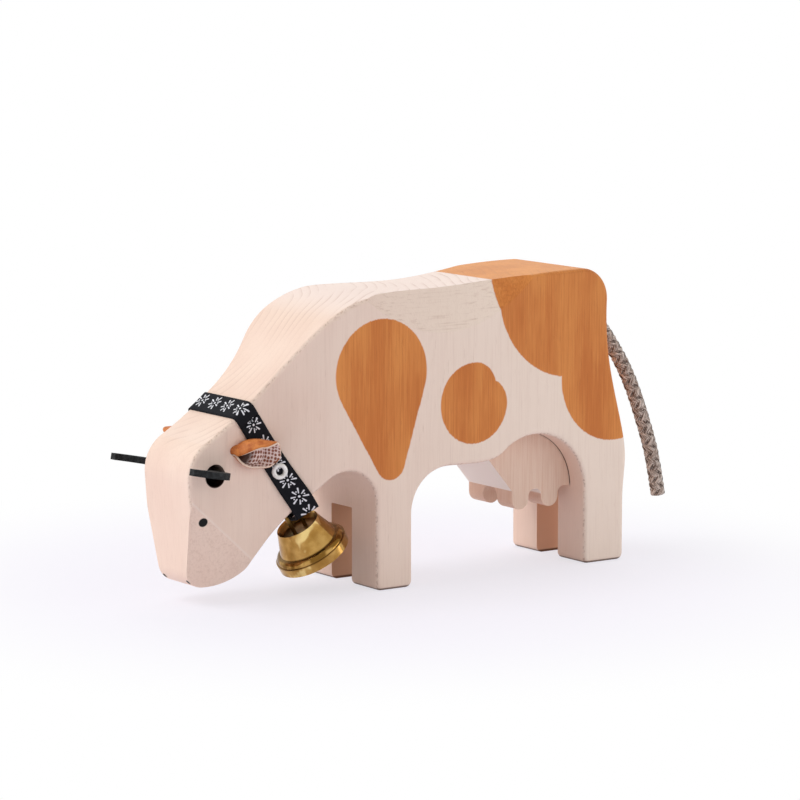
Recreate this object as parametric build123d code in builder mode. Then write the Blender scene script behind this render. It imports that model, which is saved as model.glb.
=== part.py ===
"""Grazing cow figurine: a carved plank with leather horns and ears, a ribbon collar, a bell and a rope tail.

Millimetres. The cow looks along -X, +Z is up and the feet stand on z = 0.
"""
import os
from math import cos, radians, sin, sqrt, tan

from build123d import *

# Plank and overall height
plank_width = 37.0
body_height = 90.0
edge_round = 1.4
foot_round = 2.0

# Hind leg, thigh and rump stations along X and heights
hind_leg_back = 77.5
hind_leg_depth = 15.2
hind_leg_straight = 17.0
thigh_bulge = 0.9
thigh_height = 33.0
hock_x = 75.9
hock_height = 45.5
tail_root_x = 72.0
tail_root_height = 62.0
rump_back_x = 71.0
rump_back_drop = 10.0
rump_top_x = 61.5

# Back and withers
back_x = 12.0
back_drop = 3.1
loin_x = 38.0
loin_drop = 1.0
withers_x = -10.7
withers_drop = 3.3

# Neck and head
neck_x = -37.5
neck_height = 73.4
poll_x = -68.2
poll_height = 47.2
brow_x = -73.8
brow_height = 36.5
muzzle_x = -71.9
muzzle_height = 10.3
chin_x = -66.8
chin_height = 5.4
jaw_x = -53.5
jaw_height = 11.2
head_width = 25.4
taper_start_x = -26.5
taper_end_x = -49.0

# Front leg, chest arch, belly and hind arch
front_leg_front = -13.7
front_leg_depth = 12.7
chest_arch_radius = 10.1
chest_arch_height = 26.0
front_arch_radius = 13.1
front_arch_height = 21.5
hind_arch_radius = 18.2
hind_arch_height = 23.0
arch_sweep = 130.0
leg_slot_width = 10.6
leg_slot_height = 23.0

# Flats sanded on the muzzle and along the upper edges of the back
muzzle_flat_top_x = -71.5
muzzle_flat_top_height = 29.8
muzzle_flat_low_x = -53.9
muzzle_flat_low_height = 13.6
muzzle_flat_angle = 18.6
scoop_x = 11.0
scoop_inset = 5.9
scoop_drop = 12.6
scoop_length = 60.0

# Udder block under the hind arch
udder_width = 22.0
udder_rear_angle = 2.0
udder_front_angle = 138.0
udder_rise = 0.4
teat_width = 6.2
teat_length = 5.8
teat_lead = 0.5
teat_spacing = 11.0
teat_root_round = 2.2
teat_gap = 7.0
teat_gap_round = 2.4
glue_gap = 0.1

# Horns: one leather crescent threaded through the head
horn_hole_back = 3.1
horn_hole_drop = 9.1
horn_hole_diameter = 6.5
horn_lift = 0.5
horn_tilt = 11.5
horn_roll = 1.4
horn_root_width = 5.4
horn_thickness = 1.9
horn_reach = 13.5
horn_spread = 21.8
horn_tip_width = 2.4
horn_bow_reach = -0.5
horn_bow = 19.8
horn_inner_reach = 5.5
horn_inner_bow = 17.7

# Ears: curled leather leaves plugged into the head
ear_back = 10.9
ear_drop = 2.8
ear_length = 11.4
ear_root_radius = 2.5
ear_radius = 4.7
ear_tip_radius = 4.4
ear_thickness = 1.2
left_ear_sweep = 48.0
right_ear_sweep = 4.0
ear_droop = 8.0
ear_roll = 38.0
ear_root_curl = 290.0
ear_curl = 225.0
ear_tip_curl = 190.0
ear_plug_diameter = 3.6
ear_plug_length = 4.0
ear_plug_clearance = 0.1

# Ribbon collar and its eyelet
soft_gap = 0.3
ribbon_width = 7.0
ribbon_thickness = 0.6
ribbon_lean = 33.0
ribbon_back = 12.5
ribbon_rise = 8.1
ribbon_side_drop = 31.0
ribbon_corner_drop = 36.0
ribbon_bottom_drop = 37.9
eyelet_drop = 21.0
eyelet_diameter = 4.8
eyelet_bore = 2.2
eyelet_wall = 0.35
eyelet_height = 0.9
eyelet_hole_gap = 0.25
seat_gap = 0.2
gather_diameter = 2.3
gather_length = 3.0
gather_notch = 4.0
gather_run = 4.6

# Bell, its wire loop, hanger and clapper
bell_lean = 32.0
bell_mouth_diameter = 22.2
bell_rim_height = 2.6
bell_rim_step = 0.4
bell_y = -5.5
bell_waist_diameter = 18.0
bell_crown_diameter = 13.0
bell_height = 11.2
bell_flare_height = 1.7
bell_flare_out = 0.68
bell_flare_up = 0.72
bell_dish_depth = 1.9
bell_dish_rim = 1.2
bell_wall = 0.8
bell_neck = 4.0
loop_wire = 1.2
loop_clearance = 0.3
loop_hole_clearance = 0.1
hanger_wire = 1.0
hanger_bend = 0.6
hanger_span = 4.2
hanger_drop = 2.6
clapper_eye_clearance = 0.3
clapper_wire = 1.1
clapper_length = 5.6
clapper_ball = 4.8

# Rope tail: the route's points in the middle plane, hole bottom first
tail_diameter = 4.0
tail_hole_clearance = 0.2
tail_route = [
    (64.5, 0.0, 81.7),
    (78.0, 0.0, 76.8),
    (87.4, 0.0, 65.3),
    (92.6, 0.0, 52.9),
    (97.0, 0.0, 39.8),
    (101.5, 0.0, 27.2),
    (104.8, 0.0, 14.9),
]
arc_share = 0.45

# Values worked out from the sizes above
half_width = plank_width / 2
head_half = head_width / 2
hind_leg_front = hind_leg_back - hind_leg_depth
front_leg_back = front_leg_front + front_leg_depth
hind_arch_x = hind_leg_front - hind_arch_radius
front_arch_x = front_leg_back + front_arch_radius
chest_arch_x = front_leg_front - chest_arch_radius
thigh_x = hind_leg_back + thigh_bulge
udder_bottom = hind_arch_height + udder_rise
front_teat_x = hind_arch_x - teat_lead
rear_teat_x = front_teat_x + teat_spacing
udder_front_x = front_teat_x - teat_width / 2
horn_hole_x = poll_x + horn_hole_back
horn_hole_height = poll_height - horn_hole_drop
ear_x = poll_x + ear_back
ear_height = poll_height - ear_drop
ribbon_top_x = poll_x + ribbon_back
ribbon_top_height = poll_height + ribbon_rise
clear_of_plank = 2 * plank_width

# Side outline of the cow, drawn in the middle plane
with BuildSketch(Plane.XZ) as side_outline:
    with BuildLine():
        face = Line((muzzle_x, muzzle_height), (brow_x, brow_height))
        poll = TangentArc(face @ 1, (poll_x, poll_height), tangent=face % 1)
        neck = TangentArc(poll @ 1, (neck_x, neck_height), tangent=poll % 1)
        withers = TangentArc(neck @ 1, (withers_x, body_height - withers_drop), tangent=neck % 1)
        back = Spline(
            withers @ 1,
            (back_x, body_height - back_drop),
            (loin_x, body_height - loin_drop),
            (rump_top_x, body_height),
            tangents=[withers % 1, (1, 0)],
        )
        rump = TangentArc(back @ 1, (rump_back_x, body_height - rump_back_drop), tangent=back % 1)
        thigh = Spline(
            rump @ 1,
            (tail_root_x, tail_root_height),
            (hock_x, hock_height),
            (thigh_x, thigh_height),
            (hind_leg_back, hind_leg_straight),
            tangents=[rump % 1, (0, -1)],
        )
        Polyline(
            thigh @ 1,
            (hind_leg_back, 0),
            (hind_leg_front, 0),
            (hind_leg_front, hind_arch_height),
        )
        hind_arch = CenterArc((hind_arch_x, hind_arch_height), hind_arch_radius, 0, arch_sweep)
        front_arch = CenterArc((front_arch_x, front_arch_height), front_arch_radius, 90, 90)
        Spline(hind_arch @ 1, front_arch @ 0, tangents=[hind_arch % 1, (-1, 0)])
        Polyline(
            front_arch @ 1,
            (front_leg_back, 0),
            (front_leg_front, 0),
            (front_leg_front, chest_arch_height),
        )
        chest_arch = CenterArc((chest_arch_x, chest_arch_height), chest_arch_radius, 0, arch_sweep)
        throat = TangentArc(chest_arch @ 1, (jaw_x, jaw_height), tangent=chest_arch % 1)
        jaw = TangentArc(throat @ 1, (chin_x, chin_height), tangent=throat % 1)
        TangentArc(jaw @ 1, face @ 0, tangent=jaw % 1)
    make_face()
    fillet(side_outline.vertices().group_by(Axis.Y)[0], foot_round)


def plank_blank(grow):
    """The plank sawn to the side outline and tapered to the head's width, grown by one amount."""
    hind_end = hind_leg_back + clear_of_plank
    nose_end = brow_x - clear_of_plank
    taper_middle = ((taper_start_x + taper_end_x) / 2, (half_width + head_half) / 2 + grow)
    with BuildPart() as blank:
        with BuildSketch(Plane.XY.offset(-clear_of_plank)):
            with BuildLine():
                Polyline((hind_end, 0), (hind_end, half_width + grow), (taper_start_x, half_width + grow))
                shoulder = TangentArc(
                    (taper_start_x, half_width + grow), taper_middle, tangent=(-1, 0)
                )
                cheek = TangentArc(
                    shoulder @ 1, (taper_end_x, head_half + grow), tangent=shoulder % 1
                )
                Polyline(cheek @ 1, (nose_end, head_half + grow), (nose_end, 0))
                mirror(about=Plane.XZ)
            make_face()
        extrude(amount=body_height + 2 * clear_of_plank)
        with BuildSketch(Plane.XZ.offset(-plank_width)):
            add(side_outline.sketch_local)
            if grow:
                offset(amount=grow)
        extrude(amount=2 * plank_width, mode=Mode.INTERSECT)
    return blank.part


def half_width_at(x):
    """Half the width of the tapered plank at a station along X."""
    run = (taper_start_x - taper_end_x) / 2
    step = (half_width - head_half) / 2
    radius = (run**2 + step**2) / (2 * step)
    if x > taper_start_x:
        return half_width
    if x < taper_end_x:
        return head_half
    if x > taper_start_x - run:
        return half_width - radius + sqrt(radius**2 - (taper_start_x - x) ** 2)
    return head_half + radius - sqrt(radius**2 - (x - taper_end_x) ** 2)


def is_side(face):
    """True for the flat and tapered sides, False for the faces along the outline."""
    return abs(face.normal_at().Y) > 0.5


# Ear frames, drawn on the cow's left side: z runs out along the ear, x points out of its opening.
# The right ear is drawn there too, and stands out further from the head.
def ear_frame(sweep):
    """The frame of an ear that is swept back by an angle."""
    out = Vector(
        sin(radians(sweep)) * cos(radians(ear_droop)),
        -cos(radians(sweep)) * cos(radians(ear_droop)),
        -sin(radians(ear_droop)),
    )
    level = Vector(-cos(radians(sweep)), -sin(radians(sweep)), 0)
    opening = level * cos(radians(ear_roll)) + out.cross(level) * sin(radians(ear_roll))
    return Plane(origin=(ear_x, -head_half, ear_height), x_dir=opening, z_dir=out)


left_ear_plane = ear_frame(left_ear_sweep)
right_ear_plane = ear_frame(right_ear_sweep)

# Horn frames: the hole is bored a little off level and falls to the cow's right, and the horns'
# flat rises towards their tips
horn_level = Vector(0, cos(radians(horn_roll)), -sin(radians(horn_roll)))
horn_upright = Vector(0, sin(radians(horn_roll)), cos(radians(horn_roll)))
horn_forward = horn_upright * sin(radians(horn_tilt)) - Vector(cos(radians(horn_tilt)), 0, 0)
horn_fall = head_half * tan(radians(horn_roll))
horn_middle = Vector(horn_hole_x, 0, horn_hole_height - horn_fall)
horn_hole_plane = Plane(origin=horn_middle, x_dir=(1, 0, 0), z_dir=horn_level)
horn_plane = Plane(
    origin=horn_middle + Vector(0, 0, horn_lift),
    x_dir=horn_forward,
    z_dir=horn_forward.cross(horn_level),
)

# Tail frame: the hole runs along the rope's first run
tail_start = Vector(*tail_route[0])
tail_plane = Plane(origin=tail_start, z_dir=Vector(*tail_route[1]) - tail_start)

# Muzzle flat on the cow's right side: x runs along its upper edge, y down the flat
flat_edge = Vector(
    muzzle_flat_low_x - muzzle_flat_top_x, 0, muzzle_flat_low_height - muzzle_flat_top_height
).normalized()
flat_fall = Vector(
    flat_edge.Z * cos(radians(muzzle_flat_angle)),
    -sin(radians(muzzle_flat_angle)),
    -flat_edge.X * cos(radians(muzzle_flat_angle)),
)
muzzle_flat_plane = Plane(
    origin=(muzzle_flat_top_x, head_half, muzzle_flat_top_height),
    x_dir=flat_edge,
    z_dir=flat_edge.cross(flat_fall),
)

# Sanded scoop along the right upper edge of the back: a drum's cut, deepest at scoop_x
scoop_face = sqrt(scoop_inset**2 + scoop_drop**2)
scoop_depth = scoop_inset * scoop_drop / scoop_face
scoop_radius = ((scoop_length / 2) ** 2 + scoop_depth**2) / (2 * scoop_depth)
scoop_normal = Vector(0, scoop_drop, scoop_inset) / scoop_face
scoop_corner = Vector(scoop_x, half_width, body_height - back_drop)
scoop_plane = Plane(
    origin=scoop_corner + scoop_normal * (scoop_radius - scoop_depth),
    x_dir=(1, 0, 0),
    z_dir=scoop_normal.cross(Vector(1, 0, 0)),
)

# Carved wooden body
with BuildPart() as body:
    add(plank_blank(0))
    side_edges = body.faces().filter_by(is_side).edges()
    outline_edges = body.faces().filter_by(is_side, reverse=True).edges()
    fillet(outline_edges.filter_by(lambda edge: edge in side_edges), edge_round)
    with BuildSketch(muzzle_flat_plane):
        with Locations((0, head_width)):
            Rectangle(4 * head_width, 2 * head_width)
    muzzle_cut = extrude(amount=head_width, mode=Mode.PRIVATE)
    with BuildSketch(scoop_plane):
        Circle(scoop_radius)
    scoop_cut = extrude(amount=plank_width, both=True, mode=Mode.PRIVATE)
    for cut in (muzzle_cut, scoop_cut):
        add(cut, mode=Mode.SUBTRACT)
        add(mirror(cut, about=Plane.XZ, mode=Mode.PRIVATE), mode=Mode.SUBTRACT)
    slot_front = front_leg_front - front_leg_depth / 2
    slot_length = hind_leg_back + hind_leg_depth - slot_front
    with Locations((slot_front + slot_length / 2, 0, 0)):
        Box(slot_length, leg_slot_width, 2 * leg_slot_height, mode=Mode.SUBTRACT)
    with BuildSketch(horn_hole_plane):
        Circle(horn_hole_diameter / 2)
    extrude(amount=plank_width, both=True, mode=Mode.SUBTRACT)
    with BuildSketch(tail_plane):
        Circle(tail_diameter / 2 + tail_hole_clearance)
    extrude(amount=hind_leg_depth, mode=Mode.SUBTRACT)
    ear_holes = []
    for ear_plane in (left_ear_plane, right_ear_plane):
        with BuildSketch(ear_plane.offset(-ear_plug_length)):
            Circle(ear_plug_diameter / 2 + ear_plug_clearance)
        ear_holes.append(extrude(amount=2 * ear_plug_length, mode=Mode.PRIVATE))
    add(ear_holes[0], mode=Mode.SUBTRACT)
    add(mirror(ear_holes[1], about=Plane.XZ, mode=Mode.PRIVATE), mode=Mode.SUBTRACT)
body.part.label = "body"

# Udder: a block shaped to the hind arch, with teats left between two saw cuts
udder_radius = hind_arch_radius - glue_gap


def is_teat_root(corner):
    """True where a teat's flank meets the underside of the udder behind the front teat's front."""
    in_teats = front_teat_x < corner.X < rear_teat_x + teat_width
    return in_teats and abs(corner.Y - udder_bottom) < glue_gap


with BuildPart() as udder:
    with BuildSketch(Plane.XZ) as udder_side:
        with BuildLine():
            seat = CenterArc(
                (hind_arch_x, hind_arch_height),
                udder_radius,
                udder_rear_angle,
                udder_front_angle - udder_rear_angle,
            )
            Polyline(seat @ 1, (udder_front_x, udder_bottom), ((seat @ 0).X, udder_bottom), seat @ 0)
        make_face()
        for teat_x in (front_teat_x, rear_teat_x):
            with Locations((teat_x, udder_bottom)):
                SlotOverall(2 * teat_length, teat_width, rotation=90)
        with BuildLine():
            ceiling = CenterArc((hind_arch_x, hind_arch_height), udder_radius, 0, 180)
            Polyline(
                ceiling @ 1,
                (hind_arch_x - udder_radius, 0),
                (hind_arch_x + udder_radius, 0),
                ceiling @ 0,
            )
        make_face(mode=Mode.INTERSECT)
        teat_roots = udder_side.vertices().filter_by(is_teat_root)
        fillet(teat_roots, teat_root_round)
    extrude(amount=udder_width / 2, both=True)
    with BuildSketch(Plane.YZ.offset(hind_arch_x)):
        with Locations((0, udder_bottom - teat_length)):
            RectangleRounded(teat_gap, 2 * teat_length, teat_gap_round)
    extrude(amount=2 * hind_arch_radius, both=True, mode=Mode.SUBTRACT)
udder.part.label = "udder"

# Horns: a flat leather crescent threaded through the hole
with BuildPart() as horns:
    with BuildSketch(horn_plane):
        with BuildLine():
            outer = ThreePointArc(
                (-horn_root_width / 2, head_half),
                (horn_bow_reach, horn_bow),
                (horn_reach, horn_spread + horn_tip_width / 2),
            )
            inner = ThreePointArc(
                (horn_reach, horn_spread - horn_tip_width / 2),
                (horn_inner_reach, horn_inner_bow),
                (horn_root_width / 2, head_half),
            )
            Line(outer @ 1, inner @ 0)
            Line(inner @ 1, (horn_root_width / 2, 0))
            Line(outer @ 0, (-horn_root_width / 2, 0))
            mirror(about=Plane.XZ)
        make_face()
    extrude(amount=horn_thickness / 2, both=True)
horns.part.label = "horns"

# Ears: leather leaves curled to a trough, their stalks rolled to a plug; the right one is mirrored
ear_sections = [
    (ear_root_radius / 2, ear_root_radius, ear_root_curl),
    (ear_length / 2, ear_radius, ear_curl),
    (ear_length, ear_tip_radius, ear_tip_curl),
]


def curled_ear(ear_plane):
    """One ear with its plug, in its frame on the cow's left side."""
    with BuildPart() as ear:
        for station, radius, curl in ear_sections:
            with BuildSketch(ear_plane.offset(station)):
                with BuildLine():
                    skin = CenterArc((0, 0), radius, 180 - curl / 2, curl)
                    lining = CenterArc((0, 0), radius - ear_thickness, 180 - curl / 2, curl)
                    Line(skin @ 0, lining @ 0)
                    Line(skin @ 1, lining @ 1)
                make_face()
        loft()
        with BuildSketch(Plane(origin=ear_plane.origin, x_dir=ear_plane.z_dir, z_dir=ear_plane.x_dir)):
            with Locations((ear_length / 2, 0)):
                Ellipse(ear_length / 2, ear_radius + 2 * ear_thickness)
        extrude(amount=2 * ear_radius, both=True, mode=Mode.INTERSECT)
        add(plank_blank(ribbon_thickness + soft_gap), mode=Mode.SUBTRACT)
        with BuildSketch(ear_plane.offset(-ear_plug_length)):
            Circle(ear_plug_diameter / 2)
        extrude(amount=ear_plug_length + ear_length / 3)
    return ear.part


left_ear = curled_ear(left_ear_plane)
left_ear.label = "left_ear"
right_ear = mirror(curled_ear(right_ear_plane), about=Plane.XZ)
right_ear.label = "right_ear"

# Ribbon frame: x across the cow, y up along the ribbon's slope
ribbon_down = Vector(sin(radians(ribbon_lean)), 0, -cos(radians(ribbon_lean)))
ribbon_top = Vector(ribbon_top_x, 0, ribbon_top_height)
ribbon_plane = Plane(origin=ribbon_top, x_dir=(0, 1, 0), z_dir=Vector(0, 1, 0).cross(-ribbon_down))
throat_half = half_width_at((ribbon_top + ribbon_down * ribbon_side_drop).X) + ribbon_thickness
bell_origin = ribbon_top + ribbon_down * ribbon_bottom_drop + Vector(0, bell_y, 0)
gather_plane = Plane(origin=bell_origin, x_dir=(0, 1, 0), z_dir=ribbon_down)

# Eyelet frame: square to the ribbon on the cow's left side
eyelet_foot = ribbon_top + ribbon_down * eyelet_drop
eyelet_half = half_width_at(eyelet_foot.X)
eyelet_slope = (half_width_at(eyelet_foot.X + eyelet_bore) - eyelet_half) / eyelet_bore
eyelet_plane = Plane(
    origin=(eyelet_foot.X, -eyelet_half - ribbon_thickness, eyelet_foot.Z),
    z_dir=(-eyelet_slope, -1, 0),
)
eyelet_neck = eyelet_bore / 2 + eyelet_wall

# Collar: a woven ribbon laid round the neck, hanging clear of the throat and gathered at the bell
with BuildPart() as collar:
    add(plank_blank(ribbon_thickness))
    with BuildSketch(ribbon_plane):
        with Locations((0, -ribbon_side_drop / 2 + ribbon_width / 2)):
            Rectangle(2 * plank_width, ribbon_side_drop + ribbon_width)
    extrude(amount=ribbon_width / 2, both=True, mode=Mode.INTERSECT)
    with BuildSketch(ribbon_plane):
        with BuildLine():
            Polyline(
                (-throat_half, -ribbon_side_drop + ribbon_width / 2),
                (-throat_half, -ribbon_corner_drop),
                (bell_y - gather_run, -ribbon_bottom_drop),
                (bell_y + gather_run, -ribbon_bottom_drop),
                (throat_half, -ribbon_corner_drop),
                (throat_half, -ribbon_side_drop + ribbon_width / 2),
            )
            offset(amount=ribbon_thickness / 2)
        make_face()
    extrude(amount=ribbon_width / 2, both=True)
    add(plank_blank(0), mode=Mode.SUBTRACT)
    notch_out = gather_diameter / 2 + gather_notch
    with BuildSketch(gather_plane):
        with Locations((0, -notch_out), (0, notch_out)):
            Circle(gather_notch)
    extrude(amount=ribbon_thickness, both=True, mode=Mode.SUBTRACT)
    with BuildSketch(Plane(origin=bell_origin, z_dir=(0, 1, 0))):
        Circle(gather_diameter / 2)
    extrude(amount=gather_length / 2, both=True)
    with BuildSketch(eyelet_plane):
        Circle(eyelet_neck + eyelet_hole_gap)
    extrude(amount=ribbon_thickness, both=True, mode=Mode.SUBTRACT)
collar.part.label = "collar_ribbon"

# Eyelet that closes the ribbon: a rolled flange on a short tube
with BuildPart() as eyelet:
    with BuildSketch(Plane(origin=eyelet_plane.origin, x_dir=eyelet_plane.x_dir, z_dir=-eyelet_plane.y_dir)):
        with BuildLine():
            flange = ThreePointArc(
                (eyelet_diameter / 2, seat_gap),
                ((eyelet_diameter / 2 + eyelet_bore / 2) / 2, eyelet_height),
                (eyelet_bore / 2, seat_gap),
            )
            Polyline(
                flange @ 1,
                (eyelet_bore / 2, -ribbon_thickness / 2),
                (eyelet_neck, -ribbon_thickness / 2),
                (eyelet_neck, seat_gap),
                flange @ 0,
            )
        make_face()
    revolve(axis=Axis(eyelet_plane.origin, eyelet_plane.z_dir))
eyelet.part.label = "collar_eyelet"

# Bell frame: origin on the ribbon's lowest run, z up along the bell's axis, y across the cow
bell_up = Vector(-sin(radians(bell_lean)), 0, cos(radians(bell_lean)))
bell_plane = Plane(origin=bell_origin, x_dir=Vector(0, 1, 0).cross(bell_up), z_dir=bell_up)
bell_section = Plane(origin=bell_origin, x_dir=bell_plane.x_dir, z_dir=(0, -1, 0))
bell_across = Plane(origin=bell_origin, x_dir=(0, 1, 0), z_dir=bell_plane.x_dir)
mouth_z = -bell_neck - bell_height
dish_z = -bell_neck - bell_dish_depth
waist_z = mouth_z + bell_rim_height + bell_flare_height
ceiling_z = dish_z - bell_wall


def bell_half_section(inset, top):
    """Half section of the bell's outside, or of its hollow when set in by the wall, below a given top."""
    waist_r = bell_waist_diameter / 2 - inset
    mouth_r = bell_mouth_diameter / 2 - inset
    rim_z = mouth_z + bell_rim_height - inset
    flare_r = mouth_r - bell_rim_step
    flare = (
        waist_r + (flare_r - waist_r) * bell_flare_out,
        rim_z + (waist_z - rim_z) * bell_flare_up,
    )
    with BuildSketch(bell_section) as half:
        with BuildLine():
            Polyline((0, mouth_z), *top, (waist_r, waist_z))
            ThreePointArc((waist_r, waist_z), flare, (flare_r, rim_z))
            Polyline((flare_r, rim_z), (mouth_r, rim_z), (mouth_r, mouth_z), (0, mouth_z))
        make_face()
    return half.sketch


# Bell shell, drawn from sheet brass with a dished crown and a rolled shoulder above the rim
crown_radius = bell_crown_diameter / 2
dished_crown = [(0, dish_z), (crown_radius - bell_dish_rim, dish_z), (crown_radius, -bell_neck)]
flat_ceiling = [(0, ceiling_z), (crown_radius - bell_wall, ceiling_z)]
loop_radius = gather_diameter / 2 + loop_clearance + loop_wire / 2
with BuildPart() as bell:
    revolve(bell_half_section(0, dished_crown), axis=Axis(bell_origin, bell_up))
    revolve(
        bell_half_section(bell_wall, flat_ceiling),
        axis=Axis(bell_origin, bell_up),
        mode=Mode.SUBTRACT,
    )
    with BuildSketch(bell_plane.offset(mouth_z)):
        with Locations((-loop_radius, 0), (loop_radius, 0)):
            Circle(loop_wire / 2 + loop_hole_clearance)
    extrude(amount=bell_height, mode=Mode.SUBTRACT)
bell.part.label = "bell_shell"

# Wire loop over the crown, round the gathered ribbon
loop_foot_z = ceiling_z - loop_wire / 2
with BuildPart() as bell_loop:
    with BuildLine(bell_section) as loop_line:
        Line((loop_radius, loop_foot_z), (loop_radius, 0))
        CenterArc((0, 0), loop_radius, 0, 180)
        Line((-loop_radius, 0), (-loop_radius, loop_foot_z))
    with BuildSketch(Plane(origin=loop_line.line @ 0, z_dir=loop_line.line % 0)):
        Circle(loop_wire / 2)
    sweep(path=loop_line.line)
bell_loop.part.label = "bell_loop"

# Wire hanger under the crown that carries the clapper
pivot_z = ceiling_z - hanger_drop
with BuildPart() as hanger:
    with BuildLine(bell_across) as hanger_line:
        FilletPolyline(
            (-hanger_span / 2, ceiling_z),
            (-hanger_span / 2, pivot_z),
            (hanger_span / 2, pivot_z),
            (hanger_span / 2, ceiling_z),
            radius=hanger_bend,
        )
    with BuildSketch(Plane(origin=hanger_line.line @ 0, z_dir=hanger_line.line % 0)):
        Circle(hanger_wire / 2)
    sweep(path=hanger_line.line)
hanger.part.label = "clapper_hanger"

# Clapper: a wire eye, shank and ball, hanging plumb in the leaning bell
pivot = bell_origin + bell_up * pivot_z
eye_radius = hanger_wire / 2 + clapper_eye_clearance + clapper_wire / 2
with BuildPart(Plane(origin=pivot)) as clapper:
    Torus(eye_radius, clapper_wire / 2, rotation=(90, 0, 0))
    with Locations((0, 0, -(eye_radius + clapper_length) / 2)):
        Cylinder(clapper_wire / 2, clapper_length - eye_radius)
    with Locations((0, 0, -clapper_length)):
        Sphere(clapper_ball / 2)
clapper.part.label = "clapper"

# Rope tail: straight runs joined by the largest arcs that they allow
tail_points = [Vector(*point) for point in tail_route]
tail_radii = []
for before, corner, after in zip(tail_points, tail_points[1:], tail_points[2:]):
    turn = (corner - before).get_angle(after - corner)
    shorter = min((corner - before).length, (after - corner).length)
    tail_radii.append(arc_share * shorter / tan(radians(turn / 2)))
with BuildPart() as tail:
    with BuildLine() as tail_line:
        FilletPolyline(*tail_points, radius=tail_radii)
    with BuildSketch(tail_plane):
        Circle(tail_diameter / 2)
    sweep(path=tail_line.line)
tail.part.label = "tail_rope"
tail_length = tail_line.wire().length
tail_section = tail.part.volume / tail_length
print("tail radii", [round(radius, 1) for radius in tail_radii])
print("tail length", round(tail_length, 1), "section", round(tail_section, 3))

pieces = [
    body.part,
    udder.part,
    horns.part,
    left_ear,
    right_ear,
    collar.part,
    eyelet.part,
    bell.part,
    bell_loop.part,
    hanger.part,
    clapper.part,
    tail.part,
]
os.makedirs("parts", exist_ok=True)
for piece in pieces:
    export_step(piece, f"parts/{piece.label}.step")
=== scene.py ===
from math import cos, pi, radians, sin, sqrt

import bmesh
import bpy
from mathutils import Color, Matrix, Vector, noise
from mathutils.bvhtree import BVHTree


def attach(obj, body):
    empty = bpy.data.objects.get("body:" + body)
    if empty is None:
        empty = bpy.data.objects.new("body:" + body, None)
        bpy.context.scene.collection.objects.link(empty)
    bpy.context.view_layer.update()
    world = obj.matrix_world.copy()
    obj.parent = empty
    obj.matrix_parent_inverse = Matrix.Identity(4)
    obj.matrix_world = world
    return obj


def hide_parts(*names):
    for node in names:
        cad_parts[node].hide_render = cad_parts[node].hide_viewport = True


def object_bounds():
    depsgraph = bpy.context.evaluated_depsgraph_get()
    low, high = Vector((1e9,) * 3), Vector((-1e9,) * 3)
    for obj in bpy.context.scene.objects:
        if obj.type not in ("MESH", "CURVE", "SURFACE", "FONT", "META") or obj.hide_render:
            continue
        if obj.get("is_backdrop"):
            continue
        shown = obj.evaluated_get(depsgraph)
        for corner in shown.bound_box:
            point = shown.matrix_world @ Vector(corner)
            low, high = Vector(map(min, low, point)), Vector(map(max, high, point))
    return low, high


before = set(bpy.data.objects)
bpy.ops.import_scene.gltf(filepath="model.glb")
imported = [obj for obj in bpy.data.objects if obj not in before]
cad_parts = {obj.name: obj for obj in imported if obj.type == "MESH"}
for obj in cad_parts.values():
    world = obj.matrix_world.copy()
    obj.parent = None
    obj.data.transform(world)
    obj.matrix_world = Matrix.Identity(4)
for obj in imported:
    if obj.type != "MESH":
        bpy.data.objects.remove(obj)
cad_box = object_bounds()

# Camera: stands in front of the cow and to its left, a little above it, and looks
# slightly down on it through a long lens, as the photograph does.
camera_place = Vector((-0.58256, -0.84978, 0.19791))
camera_aim = Vector((0.5646, 0.8135, -0.1392))
lens = bpy.data.cameras.new("camera")
lens.lens = 158.53
lens.sensor_width = 36.0
camera = bpy.data.objects.new("camera", lens)
camera.location = camera_place
camera.rotation_euler = camera_aim.to_track_quat("-Z", "Y").to_euler()
bpy.context.collection.objects.link(camera)
bpy.context.scene.camera = camera


# Tail: a length of round hemp rope, eight yarns plaited round a core. One end is
# glued into a hole bored in the rump, and the other is cut off square.
MM = 0.001
weld = 0.0001 * MM


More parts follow.
